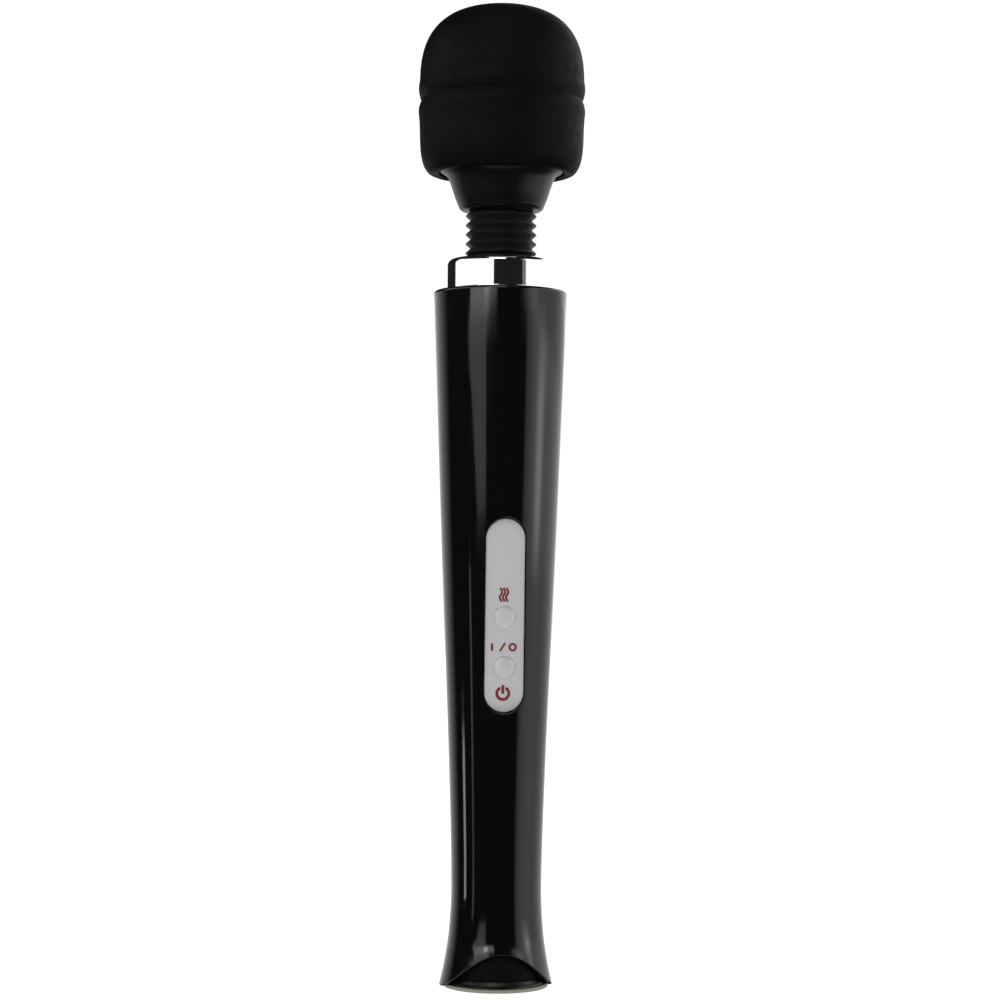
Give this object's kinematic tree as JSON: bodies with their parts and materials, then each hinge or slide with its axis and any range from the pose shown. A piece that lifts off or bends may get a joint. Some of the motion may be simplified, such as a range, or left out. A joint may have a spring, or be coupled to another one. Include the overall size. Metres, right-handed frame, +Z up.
{
  "type": "handheld wand massager",
  "caption": "Cordless wand massager: grooved soft round head on a flexible ribbed neck, bright collar, and a waisted gloss handle with a push-button panel and a flared foot.",
  "frame": {"origin": "centre of the base's flat underside, where the wand stands", "axes": "+Z up along the wand to the head, -Y out of the control panel, +X to the right as the panel is faced"},
  "size_m": [0.0564, 0.0564, 0.33],
  "materials": {
    "silicone": "matte, soft touch",
    "gloss_black": "high gloss",
    "bellows_rubber": "satin",
    "chrome": "mirror polished",
    "panel_silver": "satin silver",
    "matte_black": "matte",
    "steel": "satin",
    "brass": "turned",
    "copper": "copper windings on a laminated core",
    "board_green": "matte",
    "cell_wrap": "shrink wrap",
    "lead_red": "satin"
  },
  "bodies": {
    "handle": {"front_shell": "gloss_black", "rear_shell": "gloss_black", "tail_cap": "gloss_black", "charging_socket": "matte_black", "panel_plate": "panel_silver", "mode_switch": "matte_black", "power_switch": "matte_black", "control_board": "board_green", "board_screw_1": "steel", "board_screw_2": "steel", "battery_cell_lower": "cell_wrap", "battery_cell_upper": "cell_wrap", "battery_tray": "matte_black", "charge_lead": "lead_red", "motor_lead": "lead_red", "motor_can": "steel", "motor_end_cap": "matte_black", "motor_sleeve": "bellows_rubber", "motor_screw_1": "steel", "motor_screw_2": "steel", "lower_neck_bush": "matte_black", "chrome_ring": "chrome"},
    "mode_button": {"mode_button": "panel_silver"},
    "power_button": {"power_button": "panel_silver"},
    "motor_rotor": {"motor_armature": "copper", "motor_shaft": "steel"},
    "neck_link": {"neck_bellows": "bellows_rubber", "neck_spring": "steel"},
    "drive_coupling": {"drive_coupling": "steel"},
    "head": {"massage_head_cover": "silicone", "head_shell_upper": "matte_black", "head_shell_lower": "matte_black", "neck_cone": "gloss_black", "upper_neck_bush": "matte_black", "bearing_lower": "steel", "bearing_upper": "steel", "head_screw_1": "steel", "head_screw_2": "steel", "head_screw_3": "steel"},
    "eccentric": {"eccentric_shaft": "steel", "eccentric_weight": "brass"}
  },
  "joints": [
    {"name": "mode_press", "type": "slide", "parent": "handle", "child": "mode_button", "axis": [0, 0.9991, 0.0419], "range_m": [0, 0.0006], "stiffness_N_per_m": 2500, "springref_m": -0.0003},
    {"name": "power_press", "type": "slide", "parent": "handle", "child": "power_button", "axis": [0, 0.9991, 0.0419], "range_m": [0, 0.0006], "stiffness_N_per_m": 2500, "springref_m": -0.0003},
    {"name": "neck_nod", "type": "hinge", "parent": "handle", "child": "neck_link", "pos_m": [0, 0, 0.2485], "axis": [1, 0, 0], "range_deg": [-12, 12], "stiffness_Nm_per_rad": 4, "deforming": ["neck_bellows", "neck_spring"]},
    {"name": "neck_tilt", "type": "hinge", "parent": "neck_link", "child": "head", "pos_m": [0, 0, 0.2565], "axis": [0, 1, 0], "range_deg": [-12, 12], "stiffness_Nm_per_rad": 4, "deforming": ["neck_bellows", "neck_spring"]},
    {"name": "eccentric_spin", "type": "hinge", "parent": "head", "child": "eccentric", "pos_m": [0, 0, 0.29], "axis": [0, 0, 1], "continuous": true},
    {"name": "motor_spin", "type": "hinge", "parent": "handle", "child": "motor_rotor", "pos_m": [0, 0, 0.205], "axis": [0, 0, 1], "continuous": true},
    {"name": "coupling_spin", "type": "hinge", "parent": "neck_link", "child": "drive_coupling", "pos_m": [0, 0, 0.2525], "axis": [0, 0, 1], "continuous": true, "deforming": ["drive_coupling"]}
  ],
  "couplings": [
    {"joint": "motor_spin", "follows": "eccentric_spin", "ratio": 1},
    {"joint": "coupling_spin", "follows": "eccentric_spin", "ratio": 1}
  ]
}
